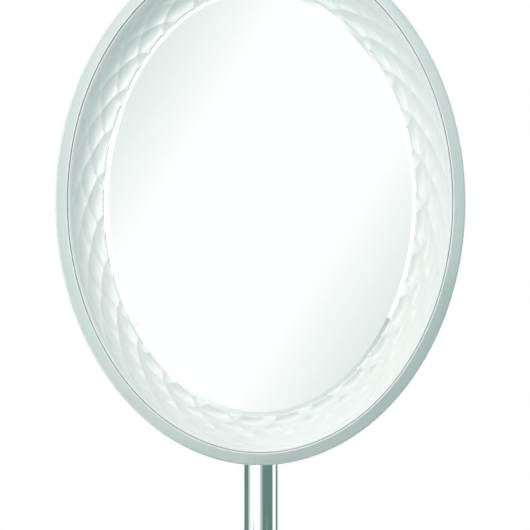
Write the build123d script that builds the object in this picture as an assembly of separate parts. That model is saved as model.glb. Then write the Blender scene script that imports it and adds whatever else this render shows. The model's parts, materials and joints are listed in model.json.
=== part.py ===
from build123d import *
from math import asin, cos, degrees, hypot, pi, radians, sin
import os

# Extendable shaving mirror. An oval head with a wide hollowed bezel tilts and turns on a chrome
# stem, and the stem slides in a wider tube that stands on a round weighted foot.
# Millimetres. Origin at the centre of the foot on the table, +Z up, the glass faces -Y.

# Heights on the stem axis
FOOT_R = 90.0
PAD_R = 86.0
PAD_BORE_R = 14.0
PAD_TOP = 3.0
PAD_EDGE = 0.6
COVER_WALL = 1.2
COVER_LOW = 1.2
COVER_SHOULDER_Z = 5.5
COVER_SHOULDER_R = 3.5
COVER_MID = (55.0, 14.0)
COVER_HUB_R = 19.0
COVER_TOP = 16.5
COVER_BORE_R = 12.7
WEIGHT_GAP = 0.2
BOLT_POCKET_R = 13.0
BOLT_POCKET_TOP = 9.5
BOLT_R = 4.0
BOLT_HOLE_R = 4.3
BOLT_HEAD_LOW = 3.4
BOLT_HEAD_ACROSS_FLATS = 13.0
BOLT_WASHER_R = 10.0
BOLT_WASHER_LOW = 7.9
BOLT_TOP = 32.0
FERRULE_R = 19.0
FERRULE_TOP = 24.0
FERRULE_EDGE = 1.2
FERRULE_WAIST_R = 14.1
FERRULE_BEND_R = 15.4
FERRULE_BEND_RISE = 3.6

# Lower tube and its clamp
OUTER_TUBE_R = 12.5
OUTER_TUBE_BORE_R = 11.0
OUTER_TUBE_TOP = 166.0
INSERT_TOP = 35.0
TAP_CLEARANCE = 1.0
COLLET_LOW = 145.0
COLLET_FLANGE_R = 13.2
COLLET_FLANGE_TOP = 168.5
COLLET_NOSE_R = 11.2
COLLET_TOP = 182.0
COLLET_SLOTS = 6
COLLET_SLOT_WIDTH = 1.2
COLLET_SLOT_LOW = 170.0
COLLAR_LOW = 156.0
COLLAR_TOP = 186.0
COLLAR_R = 17.0
COLLAR_EDGE = 1.2
COLLAR_MOUTH_R = 9.4
COLLAR_FLUTES = 28
COLLAR_FLUTE_R = 1.3
COLLAR_FLUTE_CENTRE_R = 17.7
COLLAR_FLUTE_LOW = 161.0
COLLAR_FLUTE_TOP = 181.0

# Upper tube, plug and swivel
INNER_TUBE_R = 9.0
INNER_TUBE_BORE_R = 7.8
INNER_TUBE_LOW = 40.0
INNER_TUBE_TOP = 334.0
GLIDE_LOW = 36.0
GLIDE_TOP = 44.5
GLIDE_SPIGOT_TOP = 52.0
PLUG_LOW = 316.0
PLUG_FLANGE_TOP = 336.0
SPIGOT_R = 5.0
SPIGOT_TOP = 346.4
RUNNING_GAP = 0.05
MOVING_GAP = 0.3
AXIAL_GAP = 0.1

# Fork and tilt hinge
HINGE_Z = 360.0
WASHER_THICK = 0.9
FORK_LOW = PLUG_FLANGE_TOP + AXIAL_GAP + WASHER_THICK
FORK_ROUND_R = 10.5
FORK_BLOCK_LOW = 343.0
FORK_FLOOR = 350.5
FORK_BLOCK_X = 21.0
FORK_BLOCK_Y = 20.0
FORK_CORNER = 4.0
FORK_OVERLAP = 1.0
EAR_R = 10.0
SLOT_HALF = 5.0
SWIVEL_SCREW_R = 2.0
SWIVEL_SCREW_LOW = 328.0
SWIVEL_WEB_TOP = 348.1
SWIVEL_WEB_LOW = 346.6
SCREW_HEAD_R = 3.8
SCREW_HEAD_THICK = 2.1
SOCKET_ACROSS_FLATS = 3.0
SOCKET_DEPTH = 1.2
SCREW_HEAD_ROUND = 0.9
SCREW_SLOT_WIDTH = 1.0
SCREW_SLOT_DEPTH = 0.9
TILT_BOLT_R = 3.0
TILT_HEAD_R = 5.6
TILT_HEAD_THICK = 3.4
TILT_HEAD_ROUND = 1.6
TILT_SLOT_DEPTH = 1.2
TILT_SLOT_WIDTH = 1.4
SPRING_WASHER_THICK = 1.0
SPRING_WASHER_R = 6.0
SPRING_WASHER_GAP = 0.7
SPRING_WASHER_GAP_TURN = 18.0
NUT_ACROSS_FLATS = 10.0
NUT_THICK = 3.6
NUT_DOME_R = 4.4
TONGUE_HALF = 4.0
TONGUE_END_R = 7.0
TONGUE_ARM_HALF = 6.0
FRICTION_WASHER_R = 7.0

# Head: u is measured in from the outer oval, f is measured forwards from the stem axis
OVAL_X = 104.5
OVAL_Z = 134.0
BACK_F = 26.0
SHELL_WALL = 2.2
SHELL_CORNER_R = 14.0
SHELL_BEAD_F = 41.4
SHELL_FRONT_F = 44.0
SHELL_BEAD_EDGE = 0.5
SHELL_WALL_U = 0.5
SHELL_RING_U = 34.0
RIM_U = 1.2
RIM_INNER_U = 7.1
RIM_SHOULDER_F = 50.2
RIM_BELLY = (3.65, 53.95)
RIM_CREST = (6.4, 57.5)
RIM_NOSE = (6.85, 57.55)
RIM_NOSE_LOW_F = 57.0
RIM_FLANGE_U = 10.6
RIM_FLANGE_FRONT_F = 47.8
RIM_FLANGE_BACK_F = 46.0
BEZEL_U = 7.3
BEZEL_BACK_F = 48.0
LIP_LOW_F = 56.1
LIP_CREST = (8.2, 56.8)
COVE_CENTRE = (26.87, 65.12)
COVE_R = 20.3
COVE_WALL = 2.2
COVE_INNER_ANGLE = 5.0
COVE_OUTER_ANGLE = 60.0
BEZEL_SEAT_F = 43.95
SKIRT_OUTER_U = 20.3
SKIRT_INNER_U = 22.3
SKIRT_BACK_F = 38.2
BEZEL_WALL_U = 9.3
GLASS_FRONT_F = 44.3
GLASS_THICK = 4.0
GLASS_EDGE_U = 22.6
BEVEL_INNER_U = 27.1
BEVEL_DROP = 0.9
SILVER_THICK = 0.2
FOAM_THICK = 1.5
BOARD_THICK = 3.0
PLATE_RING_WIDTH = 14.0
SILVER_EDGE_GAP = 0.2
FOAM_EDGE_GAP = 0.4
BOSS_U = 14.0
BOSS_COUNT = 6
BOSS_R = 4.6
BOSS_BORE_R = 3.3
BOSS_WEB_F = 38.0
BOSS_TOP_F = 41.8
POST_R = 3.0
POST_BACK_F = 42.0
POST_FRONT_F = 46.9
BEZEL_SCREW_R = 1.5
BEZEL_SCREW_HEAD_R = 3.0
BEZEL_SCREW_HOLE_R = 1.8
BEZEL_SCREW_END_F = 46.0
BEZEL_SLOT_WIDTH = 0.9
BEZEL_SLOT_DEPTH = 0.8
REST_POST_U = 40.0
REST_POST_R = 4.0
BRACKET_THICK = 3.0
BRACKET_HALF_X = 23.0
BRACKET_HALF_Z = 29.0
BRACKET_SCREW_X = 14.0
BRACKET_SCREW_Z = 19.0
BRACKET_HOLE_R = 2.15
BRACKET_SCREW_R = 2.0
BRACKET_EDGE = 0.8
STIFFENER_X = 56.0
STIFFENER_Z = 78.0
STIFFENER_THICK = 2.0
STIFFENER_CORNER = 8.0

SIT = (Align.CENTER, Align.CENTER, Align.MIN)
HEAD = Location((0, 0, HINGE_Z), (90, 0, 0))


def rod(radius, low, high):
    """Solid round bar on the stem axis."""
    return Pos(0, 0, low) * Cylinder(radius, high - low, align=SIT)


def tube(outer_r, inner_r, low, high):
    """Round tube on the stem axis."""
    return rod(outer_r, low, high) - rod(inner_r, low, high)


def hexagon(across_flats, low, high):
    """Hexagonal bar on the stem axis."""
    outline = RegularPolygon(across_flats / 2, 6, major_radius=False)
    return Pos(0, 0, low) * extrude(outline, amount=high - low)


def turned(*edges):
    """Solid turned about the stem axis from its half profile."""
    return revolve(make_face(Curve() + list(edges)), axis=Axis.Z)


def at(radius, height):
    """Point of a half profile."""
    return (radius, 0, height)


# ---- foot ---------------------------------------------------------------------------------

def dish_edges(inset):
    """Outline of the foot's upper surface, moved inwards by the inset."""
    shoulder = COVER_SHOULDER_R - inset
    edge_r = FOOT_R - COVER_SHOULDER_R
    crest = COVER_SHOULDER_Z + shoulder
    bend = shoulder * cos(pi / 4)
    return [
        Line(at(FOOT_R - inset, COVER_LOW), at(FOOT_R - inset, COVER_SHOULDER_Z)),
        ThreePointArc(
            at(FOOT_R - inset, COVER_SHOULDER_Z),
            at(edge_r + bend, COVER_SHOULDER_Z + bend),
            at(edge_r, crest),
        ),
        ThreePointArc(
            at(edge_r, crest),
            at(COVER_MID[0], COVER_MID[1] - inset),
            at(COVER_HUB_R, COVER_TOP - inset),
        ),
    ]


def base_cover():
    """Spun chrome dish."""
    outer = dish_edges(0)
    inner = dish_edges(COVER_WALL)
    hub = Polyline(
        at(COVER_HUB_R, COVER_TOP),
        at(COVER_BORE_R, COVER_TOP),
        at(COVER_BORE_R, COVER_TOP - COVER_WALL),
        at(COVER_HUB_R, COVER_TOP - COVER_WALL),
    )
    hem = Line(at(FOOT_R - COVER_WALL, COVER_LOW), at(FOOT_R, COVER_LOW))
    return turned(*outer, hub, *inner, hem)


def base_weight():
    """Iron disc that fills the dish, with a pocket for the bolt head."""
    inset = COVER_WALL + WEIGHT_GAP
    top = COVER_TOP - inset
    close = Polyline(
        at(COVER_HUB_R, top),
        at(0, top),
        at(0, COVER_LOW),
        at(FOOT_R - inset, COVER_LOW),
    )
    disc = turned(*dish_edges(inset), close)
    disc = disc - rod(FOOT_R, 0, PAD_TOP)
    return disc - rod(BOLT_POCKET_R, PAD_TOP, BOLT_POCKET_TOP) - rod(BOLT_HOLE_R, PAD_TOP, top)


def base_pad():
    """Rubber pad the object stands on."""
    pad = tube(PAD_R, PAD_BORE_R, 0, PAD_TOP)
    return chamfer(pad.edges().group_by(Axis.Z)[0], PAD_EDGE)


def base_bolt():
    """Hexagon bolt from under the weight into the lower tube."""
    head = hexagon(BOLT_HEAD_ACROSS_FLATS, BOLT_HEAD_LOW, BOLT_WASHER_LOW)
    return head + rod(BOLT_R, BOLT_WASHER_LOW, BOLT_TOP)


def base_washer():
    """Plain washer under the bolt head."""
    return tube(BOLT_WASHER_R, BOLT_HOLE_R, BOLT_WASHER_LOW, BOLT_POCKET_TOP)


def base_ferrule():
    """Turned ring that hides the joint of tube and foot."""
    skin = Spline(
        at(FERRULE_R, COVER_TOP + FERRULE_EDGE),
        at(FERRULE_BEND_R, COVER_TOP + FERRULE_BEND_RISE),
        at(FERRULE_WAIST_R, FERRULE_TOP),
    )
    rest = Polyline(
        at(FERRULE_WAIST_R, FERRULE_TOP),
        at(OUTER_TUBE_R, FERRULE_TOP),
        at(OUTER_TUBE_R, COVER_TOP),
        at(FERRULE_R, COVER_TOP),
        at(FERRULE_R, COVER_TOP + FERRULE_EDGE),
    )
    return turned(skin, rest)


# ---- lower tube and clamp -----------------------------------------------------------------

TUBE_FOOT = COVER_TOP - COVER_WALL - WEIGHT_GAP


def outer_tube():
    """Lower, wider tube."""
    return tube(OUTER_TUBE_R, OUTER_TUBE_BORE_R, TUBE_FOOT, OUTER_TUBE_TOP)


def outer_tube_insert():
    """Threaded plug in the lower end of the wider tube."""
    return rod(OUTER_TUBE_BORE_R, TUBE_FOOT, INSERT_TOP) - rod(BOLT_R, TUBE_FOOT, BOLT_TOP + TAP_CLEARANCE)


def clamp_collet():
    """Slit plastic sleeve that grips the upper tube."""
    bore = INNER_TUBE_R + RUNNING_GAP
    profile = Polyline(
        at(bore, COLLET_LOW),
        at(OUTER_TUBE_BORE_R, COLLET_LOW),
        at(OUTER_TUBE_BORE_R, OUTER_TUBE_TOP),
        at(COLLET_FLANGE_R, OUTER_TUBE_TOP),
        at(COLLET_FLANGE_R, COLLET_FLANGE_TOP),
        at(OUTER_TUBE_R, COLLET_FLANGE_TOP),
        at(COLLET_NOSE_R, COLLET_TOP),
        at(bore, COLLET_TOP),
        close=True,
    )
    sleeve = turned(profile)
    slit_height = COLLET_TOP - COLLET_SLOT_LOW
    slit = Box(2 * COLLET_FLANGE_R, COLLET_SLOT_WIDTH, slit_height, align=SIT)
    for k in range(COLLET_SLOTS // 2):
        sleeve -= Pos(0, 0, COLLET_SLOT_LOW) * Rot(0, 0, 360 / COLLET_SLOTS * k) * slit
    return sleeve


def lock_collar():
    """Fluted ring that squeezes the collet when it is twisted."""
    profile = Polyline(
        at(OUTER_TUBE_R + MOVING_GAP, COLLAR_LOW),
        at(COLLAR_R - COLLAR_EDGE, COLLAR_LOW),
        at(COLLAR_R, COLLAR_LOW + COLLAR_EDGE),
        at(COLLAR_R, COLLAR_TOP - 2 * COLLAR_EDGE),
        at(COLLAR_R - 2 * COLLAR_EDGE, COLLAR_TOP),
        at(COLLAR_MOUTH_R, COLLAR_TOP),
        at(COLLAR_MOUTH_R, COLLET_TOP + MOVING_GAP),
        at(COLLET_NOSE_R + MOVING_GAP, COLLET_TOP + MOVING_GAP),
        at(OUTER_TUBE_R + MOVING_GAP, COLLET_FLANGE_TOP + MOVING_GAP),
        at(COLLET_FLANGE_R + MOVING_GAP, COLLET_FLANGE_TOP + MOVING_GAP),
        at(COLLET_FLANGE_R + MOVING_GAP, OUTER_TUBE_TOP - MOVING_GAP),
        at(OUTER_TUBE_R + MOVING_GAP, OUTER_TUBE_TOP - MOVING_GAP),
        close=True,
    )
    ring = turned(profile)
    flute = Pos(COLLAR_FLUTE_CENTRE_R, 0, 0) * rod(COLLAR_FLUTE_R, COLLAR_FLUTE_LOW, COLLAR_FLUTE_TOP)
    flutes = [Rot(0, 0, 360 / COLLAR_FLUTES * k) * flute for k in range(COLLAR_FLUTES)]
    return ring - flutes


# ---- upper tube and swivel ----------------------------------------------------------------

def inner_tube():
    """Upper, narrower tube."""
    return tube(INNER_TUBE_R, INNER_TUBE_BORE_R, INNER_TUBE_LOW, INNER_TUBE_TOP)


def lower_glide():
    """Plastic glide on the lower end of the upper tube; it also stops the pull-out."""
    shoe = rod(OUTER_TUBE_BORE_R - RUNNING_GAP, GLIDE_LOW, GLIDE_TOP)
    shoe -= tube(INNER_TUBE_R, INNER_TUBE_BORE_R, INNER_TUBE_LOW, GLIDE_TOP)
    return shoe + rod(INNER_TUBE_BORE_R, GLIDE_LOW, GLIDE_SPIGOT_TOP)


def tube_top_plug():
    """Plug with a flange and a spigot, tapped for the swivel screw."""
    plug = rod(INNER_TUBE_BORE_R, PLUG_LOW, INNER_TUBE_TOP)
    plug += rod(INNER_TUBE_R, INNER_TUBE_TOP, PLUG_FLANGE_TOP)
    plug += rod(SPIGOT_R, PLUG_FLANGE_TOP, SPIGOT_TOP)
    return plug - rod(SWIVEL_SCREW_R, SWIVEL_SCREW_LOW - TAP_CLEARANCE, SPIGOT_TOP)


def swivel_washer():
    """Nylon washer the fork turns on."""
    return tube(INNER_TUBE_R, SPIGOT_R + MOVING_GAP, FORK_LOW - WASHER_THICK, FORK_LOW)


def swivel_screw():
    """Socket screw that keeps the fork on the spigot."""
    seat = SWIVEL_WEB_TOP + AXIAL_GAP
    top = seat + SCREW_HEAD_THICK
    screw = rod(SWIVEL_SCREW_R, SWIVEL_SCREW_LOW, seat) + rod(SCREW_HEAD_R, seat, top)
    return screw - hexagon(SOCKET_ACROSS_FLATS, top - SOCKET_DEPTH, top)


def swivel_fork():
    """Fork with a round foot; it turns on the spigot and carries the head between its ears."""
    block = Pos(0, 0, FORK_BLOCK_LOW) * Box(
        FORK_BLOCK_X, FORK_BLOCK_Y, FORK_FLOOR - FORK_BLOCK_LOW, align=SIT
    )
    block = fillet(block.edges().filter_by(Axis.Z), FORK_CORNER)
    fork = block + rod(FORK_ROUND_R, FORK_LOW, FORK_BLOCK_LOW)
    ear_low = FORK_FLOOR - FORK_OVERLAP
    ear_side = Plane.YZ * (
        Pos(0, (ear_low + HINGE_Z) / 2) * Rectangle(2 * EAR_R, HINGE_Z - ear_low)
        + Pos(0, HINGE_Z) * Circle(EAR_R)
    )
    ears = extrude(ear_side, amount=FORK_BLOCK_X / 2, both=True)
    slot_height = HINGE_Z + EAR_R - FORK_FLOOR
    slot = Pos(0, 0, FORK_FLOOR) * Box(2 * SLOT_HALF, 3 * EAR_R, slot_height, align=SIT)
    corners = Pos(0, 0, ear_low) * Box(
        FORK_BLOCK_X, FORK_BLOCK_Y, HINGE_Z + EAR_R - ear_low, align=SIT
    )
    corners = fillet(corners.edges().filter_by(Axis.Z), FORK_CORNER)
    fork += (ears & corners) - slot
    fork -= cross_rod(TILT_BOLT_R, -FORK_BLOCK_X / 2, FORK_BLOCK_X / 2)
    fork -= rod(SPIGOT_R + RUNNING_GAP, FORK_LOW, SWIVEL_WEB_LOW)
    fork -= rod(SWIVEL_SCREW_R + MOVING_GAP, SWIVEL_WEB_LOW, SWIVEL_WEB_TOP)
    return fork - rod(SCREW_HEAD_R + MOVING_GAP, SWIVEL_WEB_TOP, FORK_FLOOR)


def cross_rod(radius, low_x, high_x):
    """Round bar on the tilt axis."""
    bar = Cylinder(radius, high_x - low_x, align=SIT)
    return Pos(low_x, 0, HINGE_Z) * Rot(0, 90, 0) * bar


def tilt_bolt():
    """Slotted bolt the head tilts on."""
    outer = -FORK_BLOCK_X / 2
    head_end = outer - TILT_HEAD_THICK
    nut_end = FORK_BLOCK_X / 2 + SPRING_WASHER_THICK + NUT_THICK
    head = cross_rod(TILT_HEAD_R, head_end, outer)
    head = fillet(head.edges().group_by(Axis.X)[0], TILT_HEAD_ROUND)
    slot = Pos(head_end, 0, HINGE_Z) * Box(2 * TILT_SLOT_DEPTH, 2 * TILT_HEAD_R, TILT_SLOT_WIDTH)
    return head - slot + cross_rod(TILT_BOLT_R, outer, nut_end)


def tilt_spring_washer():
    """Split spring washer under the nut."""
    start = FORK_BLOCK_X / 2
    ring = cross_rod(SPRING_WASHER_R, start, start + SPRING_WASHER_THICK)
    ring -= cross_rod(TILT_BOLT_R, start, start + SPRING_WASHER_THICK)
    cut = Box(3 * SPRING_WASHER_THICK, 2 * SPRING_WASHER_R, SPRING_WASHER_GAP)
    turn = Rot(SPRING_WASHER_GAP_TURN, 0, 0)
    gap = Pos(start, 0, HINGE_Z) * turn * Pos(0, SPRING_WASHER_R, 0) * cut
    return ring - gap


def tilt_nut():
    """Domed cap nut."""
    start = FORK_BLOCK_X / 2 + SPRING_WASHER_THICK
    bend = NUT_DOME_R * cos(pi / 4)
    cap = ThreePointArc(
        at(NUT_DOME_R, NUT_THICK),
        at(bend, NUT_THICK + bend),
        at(0, NUT_THICK + NUT_DOME_R),
    )
    inside = Polyline(
        at(0, NUT_THICK + NUT_DOME_R),
        at(0, NUT_THICK / 2),
        at(NUT_DOME_R, NUT_THICK / 2),
        at(NUT_DOME_R, NUT_THICK),
    )
    nut = hexagon(NUT_ACROSS_FLATS, 0, NUT_THICK) + turned(cap, inside)
    return Pos(start, 0, HINGE_Z) * Rot(0, 90, 0) * (nut - rod(TILT_BOLT_R, 0, NUT_THICK))


# ---- head ---------------------------------------------------------------------------------

def section(u, f):
    """Point of a cross-section of the head."""
    return (OVAL_X - u, 0, f)


def oval_ring(*edges):
    """Ring that carries one cross-section round the oval."""
    return sweep(make_face(Curve() + list(edges)), path=Edge.make_ellipse(OVAL_X, OVAL_Z))


def oval_band(outer_u, inner_u, back_f, front_f):
    """Ring with a rectangular cross-section."""
    return oval_ring(Polyline(
        section(outer_u, back_f),
        section(outer_u, front_f),
        section(inner_u, front_f),
        section(inner_u, back_f),
        close=True,
    ))


def oval_core(inset, back_f, front_f):
    """Solid oval disc inside a ring."""
    outline = Ellipse(OVAL_X - inset, OVAL_Z - inset)
    return Pos(0, 0, back_f) * extrude(outline, amount=front_f - back_f)


def oval_plate(edge_u, back_f, front_f):
    """Flat oval plate whose edge keeps one distance from the outer oval."""
    band = oval_band(edge_u, edge_u + PLATE_RING_WIDTH, back_f, front_f)
    return band + oval_core(edge_u + PLATE_RING_WIDTH / 2, back_f, front_f)


def oval_spots(inset):
    """Places of the fixings, spaced round the oval at one distance from its edge."""
    spots = []
    for k in range(BOSS_COUNT):
        turn = radians(360 / BOSS_COUNT * (k + 0.5))
        normal = (cos(turn) / OVAL_X, sin(turn) / OVAL_Z)
        length = hypot(*normal)
        x = OVAL_X * cos(turn) - inset * normal[0] / length
        z = OVAL_Z * sin(turn) - inset * normal[1] / length
        spots.append((x, z))
    return spots


def pegs(spots, radius, back_f, front_f):
    """Round pegs that stand forwards at the given places."""
    peg = Cylinder(radius, front_f - back_f, align=SIT)
    return [Pos(x, z, back_f) * peg for x, z in spots]


def cove(angle, radius=COVE_R):
    """Point on the bezel's hollow, or on a curve alongside it."""
    turn = radians(angle)
    return section(COVE_CENTRE[0] - radius * sin(turn), COVE_CENTRE[1] - radius * cos(turn))


def cove_angle(u, radius):
    """Angle at which a curve alongside the hollow stands at the given inset."""
    return degrees(asin((COVE_CENTRE[0] - u) / radius))


def shell_corner(radius):
    """Round corner between the shell's side and its back."""
    bend = radius * cos(pi / 4)
    centre_u = SHELL_WALL_U + SHELL_CORNER_R
    centre_f = BACK_F + SHELL_CORNER_R
    return ThreePointArc(
        section(centre_u, centre_f - radius),
        section(centre_u - bend, centre_f - bend),
        section(centre_u - radius, centre_f),
    )


def back_shell():
    """Moulded back: a tray with a rolled edge, screw bosses and rests for the board."""
    inner_r = SHELL_CORNER_R - SHELL_WALL
    corner_f = BACK_F + SHELL_CORNER_R
    centre_u = SHELL_WALL_U + SHELL_CORNER_R
    edge = Polyline(
        section(SHELL_WALL_U, corner_f),
        section(SHELL_WALL_U, SHELL_BEAD_F),
        section(0, SHELL_BEAD_F + SHELL_BEAD_EDGE),
        section(0, SHELL_FRONT_F),
        section(SHELL_WALL_U + SHELL_WALL, SHELL_FRONT_F),
        section(SHELL_WALL_U + SHELL_WALL, corner_f),
    )
    floor = Polyline(
        section(centre_u, BACK_F + SHELL_WALL),
        section(SHELL_RING_U, BACK_F + SHELL_WALL),
        section(SHELL_RING_U, BACK_F),
        section(centre_u, BACK_F),
    )
    shell = oval_ring(shell_corner(SHELL_CORNER_R), edge, shell_corner(inner_r), floor)
    shell += oval_core(SHELL_RING_U - PLATE_RING_WIDTH / 2, BACK_F, BACK_F + SHELL_WALL)
    bosses = oval_spots(BOSS_U)
    shell += pegs(bosses, BOSS_R, BACK_F + SHELL_WALL / 2, BOSS_TOP_F)
    shell += pegs(oval_spots(REST_POST_U), REST_POST_R, BACK_F + SHELL_WALL / 2, BOARD_BACK_F)
    shell -= pegs(bosses, BOSS_BORE_R, BACK_F, BOSS_WEB_F)
    shell -= pegs(bosses, BEZEL_SCREW_HOLE_R, BACK_F, BOSS_TOP_F)
    return shell - pegs(BRACKET_SPOTS, BRACKET_HOLE_R, BACK_F, BACK_F + SHELL_WALL)


def outer_rim():
    """Smooth sloping ring round the front, clamped between shell and bezel."""
    slope = ThreePointArc(
        section(RIM_U, RIM_SHOULDER_F),
        section(*RIM_BELLY),
        section(*RIM_CREST),
    )
    nose = ThreePointArc(
        section(*RIM_CREST),
        section(*RIM_NOSE),
        section(RIM_INNER_U, RIM_NOSE_LOW_F),
    )
    rest = Polyline(
        section(RIM_INNER_U, RIM_NOSE_LOW_F),
        section(RIM_INNER_U, RIM_FLANGE_FRONT_F),
        section(RIM_FLANGE_U, RIM_FLANGE_FRONT_F),
        section(RIM_FLANGE_U, RIM_FLANGE_BACK_F),
        section(SHELL_WALL_U + SHELL_WALL, RIM_FLANGE_BACK_F),
        section(SHELL_WALL_U + SHELL_WALL, SHELL_FRONT_F),
        section(RIM_U, SHELL_FRONT_F),
        section(RIM_U, RIM_SHOULDER_F),
    )
    return oval_ring(slope, nose, rest)


def quilted_bezel():
    """Ring with a hollow front face, a small lip outside and a skirt round the glass."""
    under_r = COVE_R + COVE_WALL
    skirt_angle = cove_angle(SKIRT_OUTER_U, under_r)
    wall_angle = cove_angle(BEZEL_WALL_U, under_r)
    lip = ThreePointArc(section(BEZEL_U, LIP_LOW_F), section(*LIP_CREST), cove(COVE_OUTER_ANGLE))
    middle = (COVE_OUTER_ANGLE + COVE_INNER_ANGLE) / 2
    hollow = ThreePointArc(cove(COVE_OUTER_ANGLE), cove(middle), cove(COVE_INNER_ANGLE))
    inner_u = OVAL_X - cove(COVE_INNER_ANGLE)[0]
    seat = Polyline(
        cove(COVE_INNER_ANGLE),
        section(inner_u, BEZEL_SEAT_F),
        section(SKIRT_INNER_U, BEZEL_SEAT_F),
        section(SKIRT_INNER_U, SKIRT_BACK_F),
        section(SKIRT_OUTER_U, SKIRT_BACK_F),
        cove(skirt_angle, under_r),
    )
    under = ThreePointArc(
        cove(skirt_angle, under_r),
        cove((skirt_angle + wall_angle) / 2, under_r),
        cove(wall_angle, under_r),
    )
    wall = Polyline(
        cove(wall_angle, under_r),
        section(BEZEL_WALL_U, BEZEL_BACK_F),
        section(BEZEL_U, BEZEL_BACK_F),
        section(BEZEL_U, LIP_LOW_F),
    )
    ring = oval_ring(lip, hollow, seat, under, wall)
    posts = oval_spots(BOSS_U)
    ring += pegs(posts, POST_R, POST_BACK_F, POST_FRONT_F)
    return ring - pegs(posts, BEZEL_SCREW_R, POST_BACK_F, BEZEL_SCREW_END_F)


def bezel_screws():
    """Screws from the back of the head into the bezel's posts."""
    spots = oval_spots(BOSS_U)
    heads = pegs(spots, BEZEL_SCREW_HEAD_R, BOSS_WEB_F - SCREW_HEAD_THICK, BOSS_WEB_F)
    shanks = pegs(spots, BEZEL_SCREW_R, BOSS_WEB_F, BEZEL_SCREW_END_F)
    slot = Box(2 * BEZEL_SCREW_HEAD_R, BEZEL_SLOT_WIDTH, 2 * BEZEL_SLOT_DEPTH)
    slots = [Pos(x, z, BOSS_WEB_F - SCREW_HEAD_THICK) * slot for x, z in spots]
    return Compound([head + shank - cut for head, shank, cut in zip(heads, shanks, slots)])


def mirror_glass():
    """Oval glass with a wide bevelled edge."""
    back_f = GLASS_FRONT_F - GLASS_THICK
    inner_u = GLASS_EDGE_U + PLATE_RING_WIDTH
    band = oval_ring(Polyline(
        section(GLASS_EDGE_U, back_f),
        section(GLASS_EDGE_U, GLASS_FRONT_F - BEVEL_DROP),
        section(BEVEL_INNER_U, GLASS_FRONT_F),
        section(inner_u, GLASS_FRONT_F),
        section(inner_u, back_f),
        close=True,
    ))
    return band + oval_core(inner_u - PLATE_RING_WIDTH / 4, back_f, GLASS_FRONT_F)


SILVER_FRONT_F = GLASS_FRONT_F - GLASS_THICK
FOAM_FRONT_F = SILVER_FRONT_F - SILVER_THICK
BOARD_FRONT_F = FOAM_FRONT_F - FOAM_THICK
BOARD_BACK_F = BOARD_FRONT_F - BOARD_THICK
BRACKET_BACK_F = BACK_F - BRACKET_THICK
BRACKET_SPOTS = [(x, z) for x in (-BRACKET_SCREW_X, BRACKET_SCREW_X)
                 for z in (-BRACKET_SCREW_Z, BRACKET_SCREW_Z)]


def hinge_bracket():
    """Oval plate on the back of the head with a tongue that reaches into the fork."""
    plate = extrude(Ellipse(BRACKET_HALF_X, BRACKET_HALF_Z), amount=BRACKET_THICK)
    plate = chamfer(plate.edges().group_by(Axis.Z)[0], BRACKET_EDGE)
    plate = Pos(0, 0, BRACKET_BACK_F) * plate
    side = Plane.YZ * (
        Circle(TONGUE_END_R)
        + Pos(0, BRACKET_BACK_F / 2) * Rectangle(2 * TONGUE_ARM_HALF, BRACKET_BACK_F)
    )
    tongue = extrude(side, amount=TONGUE_HALF, both=True)
    pin_hole = Rot(0, 90, 0) * Cylinder(TILT_BOLT_R + RUNNING_GAP, 3 * TONGUE_HALF)
    holes = pegs(BRACKET_SPOTS, BRACKET_HOLE_R, BRACKET_BACK_F, BACK_F)
    return plate + tongue - pin_hole - holes


def friction_washers():
    """Two washers beside the tongue."""
    thick = SLOT_HALF - TONGUE_HALF - RUNNING_GAP
    ring = Cylinder(FRICTION_WASHER_R, thick) - Cylinder(TILT_BOLT_R + MOVING_GAP, thick)
    offset = TONGUE_HALF + thick / 2
    return Compound([Pos(side * offset, 0, 0) * Rot(0, 90, 0) * ring for side in (-1, 1)])


def bracket_screws():
    """Slotted screws through bracket and shell into the stiffener."""
    end_f = BACK_F + SHELL_WALL + STIFFENER_THICK
    heads = pegs(BRACKET_SPOTS, SCREW_HEAD_R, BRACKET_BACK_F - SCREW_HEAD_THICK, BRACKET_BACK_F)
    heads = [fillet(head.edges().group_by(Axis.Z)[0], SCREW_HEAD_ROUND) for head in heads]
    shanks = pegs(BRACKET_SPOTS, BRACKET_SCREW_R, BRACKET_BACK_F, end_f)
    slot = Box(2 * SCREW_HEAD_R, SCREW_SLOT_WIDTH, 2 * SCREW_SLOT_DEPTH)
    slots = [Pos(x, z, BRACKET_BACK_F - SCREW_HEAD_THICK) * slot for x, z in BRACKET_SPOTS]
    return Compound([head + shank - cut for head, shank, cut in zip(heads, shanks, slots)])


def stiffener_plate():
    """Tapped steel plate inside the shell."""
    back_f = BACK_F + SHELL_WALL
    outline = RectangleRounded(STIFFENER_X, STIFFENER_Z, STIFFENER_CORNER)
    plate = Pos(0, 0, back_f) * extrude(outline, amount=STIFFENER_THICK)
    return plate - pegs(BRACKET_SPOTS, BRACKET_SCREW_R, back_f, back_f + STIFFENER_THICK)


def backing_board():
    """Board behind the glass."""
    return oval_plate(GLASS_EDGE_U, BOARD_BACK_F, BOARD_FRONT_F)


def foam_pad():
    """Foam sheet between board and glass."""
    return oval_plate(GLASS_EDGE_U + FOAM_EDGE_GAP, BOARD_FRONT_F, FOAM_FRONT_F)


def silver_layer():
    """Silvering and paint on the back of the glass."""
    return oval_plate(GLASS_EDGE_U + SILVER_EDGE_GAP, FOAM_FRONT_F, SILVER_FRONT_F)


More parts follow.
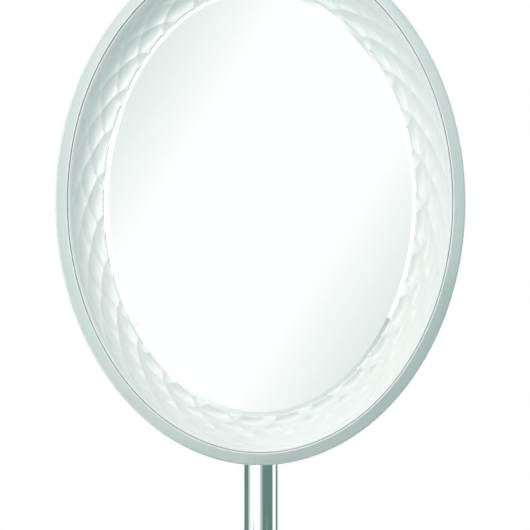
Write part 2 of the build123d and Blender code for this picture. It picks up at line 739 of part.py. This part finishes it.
STANDING = {
    "base_cover": base_cover,
    "base_weight": base_weight,
    "base_pad": base_pad,
    "base_bolt": base_bolt,
    "base_washer": base_washer,
    "base_ferrule": base_ferrule,
    "outer_tube": outer_tube,
    "outer_tube_insert": outer_tube_insert,
    "clamp_collet": clamp_collet,
    "lock_collar": lock_collar,
    "inner_tube": inner_tube,
    "lower_glide": lower_glide,
    "tube_top_plug": tube_top_plug,
    "swivel_fork": swivel_fork,
    "swivel_washer": swivel_washer,
    "swivel_screw": swivel_screw,
    "tilt_bolt": tilt_bolt,
    "tilt_nut": tilt_nut,
    "tilt_spring_washer": tilt_spring_washer,
}
ON_HEAD = {
    "hinge_bracket": hinge_bracket,
    "friction_washers": friction_washers,
    "bracket_screws": bracket_screws,
    "stiffener_plate": stiffener_plate,
    "back_shell": back_shell,
    "outer_rim": outer_rim,
    "quilted_bezel": quilted_bezel,
    "bezel_screws": bezel_screws,
    "backing_board": backing_board,
    "foam_pad": foam_pad,
    "silver_layer": silver_layer,
    "mirror_glass": mirror_glass,
}

os.makedirs("parts", exist_ok=True)
for name, make in STANDING.items():
    export_step(make(), f"parts/{name}.step")
for name, make in ON_HEAD.items():
    export_step(HEAD * make(), f"parts/{name}.step")
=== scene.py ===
import json
import math

import bpy
import numpy as np
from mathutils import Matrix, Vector


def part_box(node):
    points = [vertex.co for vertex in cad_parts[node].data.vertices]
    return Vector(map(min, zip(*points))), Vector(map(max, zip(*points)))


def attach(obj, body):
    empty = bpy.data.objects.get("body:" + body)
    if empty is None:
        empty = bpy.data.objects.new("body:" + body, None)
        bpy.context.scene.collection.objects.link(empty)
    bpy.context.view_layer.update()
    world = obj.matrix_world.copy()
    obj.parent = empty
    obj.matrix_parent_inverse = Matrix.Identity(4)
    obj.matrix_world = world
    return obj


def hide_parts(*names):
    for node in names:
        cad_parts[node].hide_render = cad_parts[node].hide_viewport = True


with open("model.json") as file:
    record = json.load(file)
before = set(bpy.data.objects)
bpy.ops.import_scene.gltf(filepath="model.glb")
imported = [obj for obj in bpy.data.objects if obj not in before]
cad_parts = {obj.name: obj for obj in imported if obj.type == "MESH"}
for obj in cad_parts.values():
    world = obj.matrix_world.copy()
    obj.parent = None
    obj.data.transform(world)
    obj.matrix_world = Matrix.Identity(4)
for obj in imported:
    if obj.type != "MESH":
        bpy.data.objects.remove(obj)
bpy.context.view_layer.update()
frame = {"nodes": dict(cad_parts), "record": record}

MM = 0.001

# The head's oval, from the shell, glass and bezel nodes
SHELL_LOW, SHELL_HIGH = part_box("back_shell")
GLASS_LOW, GLASS_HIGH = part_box("mirror_glass")
BEZEL_LOW, BEZEL_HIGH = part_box("quilted_bezel")
OVAL_X = (SHELL_HIGH.x - SHELL_LOW.x) / 2
OVAL_Z = (SHELL_HIGH.z - SHELL_LOW.z) / 2
HEAD_Z = (SHELL_HIGH.z + SHELL_LOW.z) / 2
HEAD_CENTRE = (0.0, -50.0 * MM, HEAD_Z)
OVAL_SAMPLES = 20000

# Bezel section: u is measured in from the oval's edge, f forwards from the stem axis
BEZEL_U = OVAL_X - BEZEL_HIGH.x
BEZEL_FRONT_F = -BEZEL_LOW.y
SKIRT_BACK_F = -BEZEL_HIGH.y
GLASS_U = OVAL_X - GLASS_HIGH.x
GLASS_FRONT_F = -GLASS_LOW.y
# Hollow of the bezel: an arc about a centre in front of it
COVE_R = 20.3 * MM
COVE_U = 26.87 * MM
COVE_F = BEZEL_FRONT_F + 8.32 * MM
COVE_WALL = 2.2 * MM
COVE_INNER = math.radians(5.0)
COVE_OUTER = math.radians(60.0)
# Lip outside the hollow, the wall behind it, and the skirt and seat beside the glass
LIP_U = BEZEL_U + 0.35 * MM
LIP_REACH = 0.7 * MM
LIP_STEPS = 7
WALL_INNER_U = BEZEL_U + 2.0 * MM
WALL_BACK_F = BEZEL_FRONT_F - 8.8 * MM
UNDER_STEPS = 12
SKIRT_INNER_U = GLASS_U - 0.3 * MM
SKIRT_OUTER_U = SKIRT_INNER_U - 2.0 * MM
SEAT_F = GLASS_FRONT_F - 0.35 * MM

# Quilting: scoops on a lattice round the oval, counted in rows from the glass outwards
REPEATS = 29
ROW_ANGLE = math.radians(12.0)
SCOOP_DEPTHS = [depth * MM for depth in (0.95, 1.5, 1.5, 1.25, 0.9, 0.55, 0.3)]
SCOOP_WIDTH = 4.0
TENT_WIDTH = 16.0
FOOT_STRETCH = 0.75
EDGE_FADE_ROWS = 0.25
RIDGE_ROUND = 0.03 * MM
STEPS_PER_REPEAT = 36
STEPS_PER_ROW = 14
# Small step down to the glass at the foot of each scoop of the first row
STEP_DEPTH = 0.95 * MM
STEP_ROW = 0.14
STEP_HALF_WIDTH = 0.27
STEP_END = 0.05
STEP_SLOPE = 0.7

# Studio: light that is seen behind the scene, in reflections, and on matt surfaces
BACKDROP_COLOUR = (1.0, 1.0, 1.0)
ROOM_COLOUR = (0.150, 0.262, 0.225)
ROOM_WINDOW = (1.250, 1.250, 1.250)
FILL_COLOUR = (0.122, 0.284, 0.262)
# Lights round the head: degrees off the viewing axis, degrees round it, size, watts, colour
STUDIO_LIGHTS = (
    ("light_upper_left", 38.0, 140.0, 0.6, 17.0, (1.00, 0.84, 0.78)),
    ("light_upper", 38.0, 100.0, 0.6, 3.6, (0.33, 0.87, 1.00)),
    ("light_top", 58.0, 90.0, 0.9, 10.7, (1.00, 0.62, 0.65)),
    ("light_right_edge", 80.0, 20.0, 0.9, 4.3, (1.00, 0.80, 0.75)),
    ("light_top_edge", 80.0, 60.0, 0.9, 5.6, (0.72, 1.00, 0.94)),
    ("light_left_edge", 80.0, 180.0, 0.9, 3.6, (0.60, 1.00, 0.87)),
)
LIGHT_DISTANCE = 2.0

# Cards that are seen only in reflections: what the mirror shows, the light in the lower right
# of the glass's bevel, and part of a ring that lights the gloss of the quilting
MIRROR_CARD_Z = 0.83
MIRROR_CARD_Y = -2.1
MIRROR_CARD_SIZE = (2.6, 1.4)
MIRROR_CARD_STRENGTH = 1.04
LOW_CARD_PLACE = (0.42, -0.50, 0.27)
LOW_CARD_AIM = (0.07, -0.05, 0.27)
LOW_CARD_SIZE = (0.5, 0.16)
LOW_CARD_STRENGTH = 1.1
RING_Y = -1.4
RING_RADII = (0.24, 0.75)
RING_SECTOR = (14.0, 240.0)
RING_STEPS = 48
RING_LOWEST_Z = 0.01
RING_STRENGTH = 4.0
# What the mirror reflects: white, with a soft grey-green band on a slant to either side
MIRROR_SLANT = (0.85, 0.53, 0.0)
MIRROR_SHIFT = 0.75
MIRROR_WHITE = (1.0, 1.0, 1.0)
MIRROR_GREY = (0.66, 0.75, 0.71)
MIRROR_BANDS = (
    (0.10, MIRROR_WHITE),
    (0.27, MIRROR_GREY),
    (0.43, MIRROR_WHITE),
    (0.63, MIRROR_WHITE),
    (0.78, MIRROR_GREY),
    (0.88, MIRROR_WHITE),
)

# Windows of the room: degrees round the horizon, 0 towards the camera, where each one starts,
# reaches its full light, begins to fade and ends, and how bright it is
ROOM_WINDOWS = (
    (-180.0, -165.0, -145.0, -130.0, 0.9),
    (-95.0, -65.0, -15.0, 20.0, 1.0),
    (88.0, 95.0, 120.0, 132.0, 1.0),
)

FLOOR_HALF = 1.6
CAMERA_PLACE = (2.44 * MM, -1.543, HEAD_Z - 32.0 * MM)
CAMERA_LENS = 200.0
CAMERA_SENSOR = 36.0
CAMERA_REACH = 50.0


# ---- materials ----------------------------------------------------------------------------

def new_material(name):
    """New material with its node tree and its Principled shader."""
    material = bpy.data.materials.new(name)
    material.use_nodes = True
    tree = material.node_tree
    shader = tree.nodes["Principled BSDF"]
    return material, tree, shader


def add_noise(tree, scale, detail=4.0, roughness=0.55, stretch=(1.0, 1.0, 1.0)):
    """Noise in the object's own coordinates; the scale is in features per metre."""
    coords = tree.nodes.new("ShaderNodeTexCoord")
    mapping = tree.nodes.new("ShaderNodeMapping")
    mapping.inputs["Scale"].default_value = stretch
    noise = tree.nodes.new("ShaderNodeTexNoise")
    noise.inputs["Scale"].default_value = scale
    noise.inputs["Detail"].default_value = detail
    noise.inputs["Roughness"].default_value = roughness
    tree.links.new(coords.outputs["Object"], mapping.inputs["Vector"])
    tree.links.new(mapping.outputs["Vector"], noise.inputs["Vector"])
    return noise


def add_range(tree, source, low, high, from_low=0.3, from_high=0.7):
    """Maps a noise value to a range."""
    ranged = tree.nodes.new("ShaderNodeMapRange")
    ranged.inputs["From Min"].default_value = from_low
    ranged.inputs["From Max"].default_value = from_high
    ranged.inputs["To Min"].default_value = low
    ranged.inputs["To Max"].default_value = high
    tree.links.new(source, ranged.inputs["Value"])
    return ranged.outputs["Result"]


def add_colour(tree, source, first, second):
    """Blends two colours by a value."""
    mix = tree.nodes.new("ShaderNodeMix")
    mix.data_type = "RGBA"
    mix.inputs["A"].default_value = (*first, 1.0)
    mix.inputs["B"].default_value = (*second, 1.0)
    tree.links.new(source, mix.inputs["Factor"])
    return mix.outputs["Result"]


def add_bump(tree, shader, source, distance, strength=1.0):
    """Fine relief on the shader's normal."""
    bump = tree.nodes.new("ShaderNodeBump")
    bump.inputs["Distance"].default_value = distance
    bump.inputs["Strength"].default_value = strength
    tree.links.new(source, bump.inputs["Height"])
    tree.links.new(bump.outputs["Normal"], shader.inputs["Normal"])


def surface(name, first, second, rough, metallic=0.0, scale=60.0, fine=900.0, relief=0.0,
            coat=0.0, specular=0.5, stretch=(1.0, 1.0, 1.0)):
    """Material with clouded colour, uneven roughness and fine relief."""
    material, tree, shader = new_material(name)
    cloud = add_noise(tree, scale, stretch=stretch)
    colour = add_colour(tree, add_range(tree, cloud.outputs["Fac"], 0.0, 1.0), first, second)
    tree.links.new(colour, shader.inputs["Base Color"])
    grain = add_noise(tree, fine, detail=3.0, stretch=stretch)
    tree.links.new(add_range(tree, grain.outputs["Fac"], *rough), shader.inputs["Roughness"])
    shader.inputs["Metallic"].default_value = metallic
    shader.inputs["Coat Weight"].default_value = coat
    shader.inputs["Coat Roughness"].default_value = 0.05
    shader.inputs["Specular IOR Level"].default_value = specular
    if relief:
        add_bump(tree, shader, grain.outputs["Fac"], relief)
    return material


def glass_material():
    """Mirror glass: what shows is the silvering through a breath of green glass."""
    material, tree, shader = new_material("mirror_glass")
    wipe = add_noise(tree, 25.0, stretch=(1.0, 1.0, 0.35))
    tint = add_colour(tree, add_range(tree, wipe.outputs["Fac"], 0.0, 1.0),
                      (0.955, 0.975, 0.970), (0.945, 0.968, 0.962))
    tree.links.new(tint, shader.inputs["Base Color"])
    tree.links.new(add_range(tree, wipe.outputs["Fac"], 0.0, 0.006), shader.inputs["Roughness"])
    shader.inputs["Metallic"].default_value = 1.0
    return material


CHROME = surface("chrome", (0.80, 0.83, 0.83), (0.84, 0.86, 0.86), (0.025, 0.06), metallic=1.0,
                 scale=40.0, fine=300.0)
WHITE_GLOSS = surface("white_gloss", (0.86, 0.87, 0.87), (0.875, 0.885, 0.885), (0.16, 0.24),
                      scale=30.0, fine=500.0, relief=0.004 * MM, specular=0.5)
WHITE_SHELL = surface("white_shell", (0.80, 0.82, 0.82), (0.825, 0.84, 0.84), (0.36, 0.48),
                      scale=30.0, fine=1600.0, relief=0.02 * MM)
STEEL = surface("zinc_steel", (0.55, 0.56, 0.57), (0.66, 0.66, 0.64), (0.22, 0.38), metallic=1.0,
                scale=400.0, fine=1500.0, relief=0.01 * MM)
IRON = surface("cast_iron", (0.03, 0.03, 0.032), (0.06, 0.058, 0.055), (0.55, 0.75),
               metallic=0.2, scale=120.0, fine=700.0, relief=0.15 * MM)
RUBBER = surface("rubber", (0.022, 0.022, 0.024), (0.035, 0.035, 0.036), (0.65, 0.85),
                 scale=90.0, fine=1800.0, relief=0.05 * MM, specular=0.3)
NYLON = surface("nylon", (0.72, 0.72, 0.68), (0.80, 0.80, 0.76), (0.35, 0.5), scale=200.0,
                fine=1500.0, relief=0.01 * MM)
BOARD = surface("board", (0.14, 0.10, 0.07), (0.20, 0.15, 0.10), (0.6, 0.8), scale=300.0,
                fine=2000.0, relief=0.05 * MM)
FOAM = surface("foam", (0.08, 0.08, 0.08), (0.12, 0.12, 0.12), (0.7, 0.9), scale=900.0,
               fine=2500.0, relief=0.1 * MM)
SILVER = surface("silvering", (0.93, 0.955, 0.945), (0.94, 0.96, 0.95), (0.0, 0.006),
                 metallic=1.0, scale=20.0, fine=60.0)
GLASS = glass_material()

FINISH = {
    "chrome": CHROME,
    "cast_iron": IRON,
    "rubber": RUBBER,
    "steel": STEEL,
    "nylon": NYLON,
    "white_shell": WHITE_SHELL,
    "white_gloss": WHITE_GLOSS,
    "board": BOARD,
    "foam": FOAM,
    "silvering": SILVER,
    "glass": GLASS,
}


def paint_nodes():
    """Gives every CAD node the finish its record slot names."""
    for part in frame["record"]["subparts"]:
        node = frame["nodes"][part["node"]]
        material = FINISH[part["material_slot"]]
        for holder in node.material_slots:
            holder.material = material


# ---- quilted bezel ------------------------------------------------------------------------

def oval_frames(count):
    """Points and inward normals of the outer oval at equal steps of its length."""
    turn = np.linspace(0.0, 2 * math.pi, OVAL_SAMPLES + 1)
    x = OVAL_X * np.cos(turn)
    z = OVAL_Z * np.sin(turn)
    length = np.concatenate([[0.0], np.cumsum(np.hypot(np.diff(x), np.diff(z)))])
    wanted = np.linspace(0.0, length[-1], count, endpoint=False)
    turn = np.interp(wanted, length, turn)
    normal = np.stack([np.cos(turn) / OVAL_X, np.sin(turn) / OVAL_Z], axis=1)
    normal /= np.linalg.norm(normal, axis=1)[:, None]
    points = np.stack([OVAL_X * np.cos(turn), OVAL_Z * np.sin(turn)], axis=1)
    return points, -normal


def scoop_depth(repeat, row):
    """Depth of the scoops below the smooth hollow; ridges stay where two scoops meet."""
    layers = []
    for centre_row, depth in enumerate(SCOOP_DEPTHS):
        shift = 0.5 if centre_row % 2 else 0.0
        across = (repeat - shift) - np.round(repeat - shift)
        along = row - centre_row
        stretch = np.where((along < 0) & (centre_row == 1), FOOT_STRETCH, 1.0)
        width = TENT_WIDTH if centre_row == 0 else SCOOP_WIDTH
        layers.append(depth * (1 - width * across ** 2 - stretch * along ** 2))
    layers.append(np.zeros_like(row))
    layers = np.stack(layers)
    peak = layers.max(axis=0)
    smooth = peak + RIDGE_ROUND * np.log(np.exp((layers - peak) / RIDGE_ROUND).sum(axis=0))
    across = np.abs((repeat - 0.5) - np.round(repeat - 0.5))
    inside = np.clip((STEP_HALF_WIDTH - across) / STEP_END, 0.0, 1.0)
    down = np.clip((STEP_ROW - row) / (STEP_SLOPE * STEP_ROW), 0.0, 1.0) * inside
    return smooth + down * np.maximum(STEP_DEPTH - smooth, 0.0)


def bend(start, corner, end):
    """Points of a curve from start to end that leans towards the corner, start left out."""
    steps = np.linspace(0.0, 1.0, LIP_STEPS + 1)[1:]
    return [start * (1 - t) ** 2 + 2 * t * (1 - t) * corner + end * t ** 2 for t in steps]


def quilted_ring():
    """Closed ring: quilted hollow in front, plain lip, seat, skirt and wall behind."""
    count = REPEATS * STEPS_PER_REPEAT
    points, inward = oval_frames(count)
    repeat = np.arange(count) / STEPS_PER_REPEAT

    rows = (COVE_OUTER - COVE_INNER) / ROW_ANGLE
    row = np.linspace(0.0, rows, int(rows * STEPS_PER_ROW) + 1)
    angle = COVE_INNER + row * ROW_ANGLE
    grid_repeat, grid_row = np.meshgrid(repeat, row)
    depth = scoop_depth(grid_repeat, grid_row)
    edge_fade = np.clip((rows - grid_row) / EDGE_FADE_ROWS, 0.0, 1.0)
    radius = COVE_R + depth * edge_fade
    front_u = COVE_U - radius * np.sin(angle)[:, None]
    front_f = COVE_F - radius * np.cos(angle)[:, None]

    lip_start = np.array([COVE_U - COVE_R * math.sin(COVE_OUTER),
                          COVE_F - COVE_R * math.cos(COVE_OUTER)])
    crest = np.array([LIP_U, BEZEL_FRONT_F])
    shoulder = np.array([BEZEL_U, BEZEL_FRONT_F - LIP_REACH])
    lip_in = bend(lip_start, np.array([LIP_U + LIP_REACH, BEZEL_FRONT_F]), crest)
    lip_out = bend(crest, np.array([BEZEL_U, BEZEL_FRONT_F]), shoulder)
    under_r = COVE_R + COVE_WALL
    wall_angle = math.asin((COVE_U - WALL_INNER_U) / under_r)
    skirt_angle = math.asin((COVE_U - SKIRT_OUTER_U) / under_r)
    under = [np.array([COVE_U - under_r * math.sin(a), COVE_F - under_r * math.cos(a)])
             for a in np.linspace(wall_angle, skirt_angle, UNDER_STEPS)]
    inner_u = COVE_U - COVE_R * math.sin(COVE_INNER)
    back = [
        np.array([BEZEL_U, WALL_BACK_F]),
        np.array([WALL_INNER_U, WALL_BACK_F]),
        *under,
        np.array([SKIRT_OUTER_U, SKIRT_BACK_F]),
        np.array([SKIRT_INNER_U, SKIRT_BACK_F]),
        np.array([SKIRT_INNER_U, SEAT_F]),
        np.array([inner_u, SEAT_F]),
    ]
    tail = np.array(lip_in + lip_out + back)
    tail_u = np.repeat(tail[:, :1], count, axis=1)
    tail_f = np.repeat(tail[:, 1:], count, axis=1)
    u = np.concatenate([front_u, tail_u])
    f = np.concatenate([front_f, tail_f])

    x = points[:, 0] + inward[:, 0] * u
    z = HEAD_Z + points[:, 1] + inward[:, 1] * u
    verts = np.stack([x, -f, z], axis=2).reshape(-1, 3)
    levels = u.shape[0]
    faces = []
    for level in range(levels):
        upper = (level + 1) % levels
        for k in range(count):
            after = (k + 1) % count
            faces.append((level * count + k, upper * count + k,
                          upper * count + after, level * count + after))
    mesh = bpy.data.meshes.new("quilted_bezel_skin")
    mesh.from_pydata(verts.tolist(), [], faces)
    mesh.validate()
    mesh.update()
    return mesh


def add_piece(name, mesh, body, slot, material, *nodes):
    """Puts a finished mesh in the scene in place of CAD nodes."""
    piece = bpy.data.objects.new(name, mesh)
    bpy.context.collection.objects.link(piece)
    mesh.materials.append(material)
    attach(piece, body)
    if nodes:
        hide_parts(*nodes)
    return piece


def shade_smooth(mesh, angle):
    """Smooth shading that keeps edges sharper than the angle."""
    mesh.shade_smooth()
    mesh.set_sharp_from_angle(angle=math.radians(angle))


# ---- studio -------------------------------------------------------------------------------

def studio_light(name, off_axis, around, size, power, colour):
    """Soft box at a fixed distance from the head, placed by its two angles and aimed at it."""
    tilt = math.radians(off_axis)
    turn = math.radians(around)
    place = (LIGHT_DISTANCE * math.sin(tilt) * math.cos(turn),
             HEAD_CENTRE[1] - LIGHT_DISTANCE * math.cos(tilt),
             HEAD_CENTRE[2] + LIGHT_DISTANCE * math.sin(tilt) * math.sin(turn))
    data = bpy.data.lights.new(name, "AREA")
    data.shape = "RECTANGLE"
    data.size = size
    data.size_y = size
    data.energy = power
    data.color = colour
    light = bpy.data.objects.new(name, data)
    bpy.context.collection.objects.link(light)
    light.location = place
    aim = Vector(HEAD_CENTRE) - Vector(place)
    light.rotation_euler = aim.to_track_quat("-Z", "Y").to_euler()
    light.visible_glossy = False


def emission_material(name, strength):
    """Plain light-giving material for a card."""
    material = bpy.data.materials.new(name)
    material.use_nodes = True
    tree = material.node_tree
    tree.nodes.clear()
    glow = tree.nodes.new("ShaderNodeEmission")
    glow.inputs["Strength"].default_value = strength
    out = tree.nodes.new("ShaderNodeOutputMaterial")
    tree.links.new(glow.outputs["Emission"], out.inputs["Surface"])
    return material, tree, glow


def reflection_only(name, mesh, material):
    """Puts a card in the studio that only reflections show."""
    mesh.materials.append(material)
    thing = bpy.data.objects.new(name, mesh)
    bpy.context.collection.objects.link(thing)
    thing.visible_camera = False
    thing.visible_diffuse = False
    thing.visible_shadow = False
    return thing


def card(name, place, aim, size, material):
    """Flat studio card that faces a spot."""
    mesh = bpy.data.meshes.new(name)
    w, h = size[0] / 2, size[1] / 2
    mesh.from_pydata([(-w, -h, 0), (w, -h, 0), (w, h, 0), (-w, h, 0)], [], [(0, 1, 2, 3)])
    thing = reflection_only(name, mesh, material)
    thing.location = place
    thing.rotation_euler = (Vector(aim) - Vector(place)).to_track_quat("Z", "Y").to_euler()


def gradient_card_material():
    """Bright card that greys towards two opposite corners of what the mirror shows."""
    material, tree, glow = emission_material("card_mirror", MIRROR_CARD_STRENGTH)
    coords = tree.nodes.new("ShaderNodeTexCoord")
    along = tree.nodes.new("ShaderNodeVectorMath")
    along.operation = "DOT_PRODUCT"
    along.inputs[1].default_value = MIRROR_SLANT
    shift = tree.nodes.new("ShaderNodeMath")
    shift.operation = "ADD"
    shift.inputs[1].default_value = MIRROR_SHIFT
    ramp = tree.nodes.new("ShaderNodeValToRGB")
    band = ramp.color_ramp
    while len(band.elements) < len(MIRROR_BANDS):
        band.elements.new(0.5)
    for element, (place, colour) in zip(band.elements, MIRROR_BANDS):
        element.position = place
        element.color = (*colour, 1.0)
    tree.links.new(coords.outputs["Object"], along.inputs[0])
    tree.links.new(along.outputs["Value"], shift.inputs[0])
    tree.links.new(shift.outputs["Value"], ramp.inputs["Fac"])
    tree.links.new(ramp.outputs["Color"], glow.inputs["Color"])
    return material


def room_reflection(tree):
    """Room as reflections see it: bright windows with soft sides round the horizon."""
    stops = []
    for start, full, fade, end, bright in ROOM_WINDOWS:
        stops += [(start, 0.0), (full, bright), (fade, bright), (end, 0.0)]
    coords = tree.nodes.new("ShaderNodeTexCoord")
    axes = tree.nodes.new("ShaderNodeSeparateXYZ")
    front = tree.nodes.new("ShaderNodeMath")
    front.operation = "MULTIPLY"
    front.inputs[1].default_value = -1.0
    turn = tree.nodes.new("ShaderNodeMath")
    turn.operation = "ARCTAN2"
    place = tree.nodes.new("ShaderNodeMapRange")
    place.inputs["From Min"].default_value = -math.pi
    place.inputs["From Max"].default_value = math.pi
    ramp = tree.nodes.new("ShaderNodeValToRGB")
    band = ramp.color_ramp
    while len(band.elements) < len(stops):
        band.elements.new(0.5)
    for element, (degrees, bright) in zip(band.elements, stops):
        element.position = (degrees + 180.0) / 360.0
        element.color = (*[low + (high - low) * bright
                           for low, high in zip(ROOM_COLOUR, ROOM_WINDOW)], 1.0)
    tree.links.new(coords.outputs["Generated"], axes.inputs["Vector"])
    tree.links.new(axes.outputs["Y"], front.inputs[0])
    tree.links.new(axes.outputs["X"], turn.inputs[0])
    tree.links.new(front.outputs["Value"], turn.inputs[1])
    tree.links.new(turn.outputs["Value"], place.inputs["Value"])
    tree.links.new(place.outputs["Result"], ramp.inputs["Fac"])
    return ramp.outputs["Color"]


def ring_card(name, centre, radii, sector, material):
    """Part of a flat upright ring in front of the head."""
    verts = []
    for k in range(RING_STEPS + 1):
        turn = math.radians(sector[0] + (sector[1] - sector[0]) * k / RING_STEPS)
        for radius in radii:
            verts.append((centre[0] + radius * math.cos(turn), centre[1],
                          max(centre[2] + radius * math.sin(turn), RING_LOWEST_Z)))
    faces = [(2 * k, 2 * k + 1, 2 * k + 3, 2 * k + 2) for k in range(RING_STEPS)]
    mesh = bpy.data.meshes.new(name)
    mesh.from_pydata(verts, [], faces)
    reflection_only(name, mesh, material)


def studio_world():
    """White behind the scene, a banded room in reflections and a cool soft fill elsewhere."""
    world = bpy.data.worlds.new("studio")
    bpy.context.scene.world = world
    world.use_nodes = True
    tree = world.node_tree
    tree.nodes.clear()
    path = tree.nodes.new("ShaderNodeLightPath")
    shades = []
    for colour in (FILL_COLOUR, ROOM_COLOUR, BACKDROP_COLOUR):
        shade = tree.nodes.new("ShaderNodeBackground")
        shade.inputs["Color"].default_value = (*colour, 1.0)
        shades.append(shade)
    tree.links.new(room_reflection(tree), shades[1].inputs["Color"])
    result = shades[0].outputs["Background"]
    for ray, shade in (("Is Glossy Ray", shades[1]), ("Is Camera Ray", shades[2])):
        mix = tree.nodes.new("ShaderNodeMixShader")
        tree.links.new(path.outputs[ray], mix.inputs["Fac"])
        tree.links.new(result, mix.inputs[1])
        tree.links.new(shade.outputs["Background"], mix.inputs[2])
        result = mix.outputs["Shader"]
    out = tree.nodes.new("ShaderNodeOutputWorld")
    tree.links.new(result, out.inputs["Surface"])


def floor():
    """Pale floor under the foot."""
    mesh = bpy.data.meshes.new("floor")
    corners = [(x * FLOOR_HALF, y * FLOOR_HALF, 0)
               for x, y in ((-1, -1), (1, -1), (1, 1), (-1, 1))]
    mesh.from_pydata(corners, [], [(0, 1, 2, 3)])
    mesh.materials.append(surface("floor_paint", (0.80, 0.81, 0.81), (0.82, 0.83, 0.83),
                                  (0.5, 0.6), scale=8.0, fine=200.0))
    thing = bpy.data.objects.new("floor", mesh)
    bpy.context.collection.objects.link(thing)


def camera():
    """Long lens held level, a little below the middle of the head."""
    data = bpy.data.cameras.new("camera")
    data.lens = CAMERA_LENS
    data.sensor_width = CAMERA_SENSOR
    data.clip_end = CAMERA_REACH
    thing = bpy.data.objects.new("camera", data)
    bpy.context.collection.objects.link(thing)
    thing.location = CAMERA_PLACE
    thing.rotation_euler = (math.radians(90), 0, 0)
    bpy.context.scene.camera = thing


paint_nodes()
bezel_mesh = quilted_ring()
shade_smooth(bezel_mesh, 40)
add_piece("quilted_bezel_skin", bezel_mesh, "head", "white_gloss", WHITE_GLOSS, "quilted_bezel")

studio_world()
floor()
camera()
for light in STUDIO_LIGHTS:
    studio_light(*light)
card("card_mirror", (0.0, MIRROR_CARD_Y, MIRROR_CARD_Z), (0.0, 0.0, MIRROR_CARD_Z),
     MIRROR_CARD_SIZE, gradient_card_material())
low_card, _, _ = emission_material("card_low", LOW_CARD_STRENGTH)
card("card_low", LOW_CARD_PLACE, LOW_CARD_AIM, LOW_CARD_SIZE, low_card)
ring_light, _, _ = emission_material("card_ring", RING_STRENGTH)
ring_card("card_ring", (0.0, RING_Y, HEAD_Z), RING_RADII, RING_SECTOR, ring_light)

bpy.context.scene.view_settings.view_transform = "Standard"
bpy.context.scene.view_settings.look = "None"
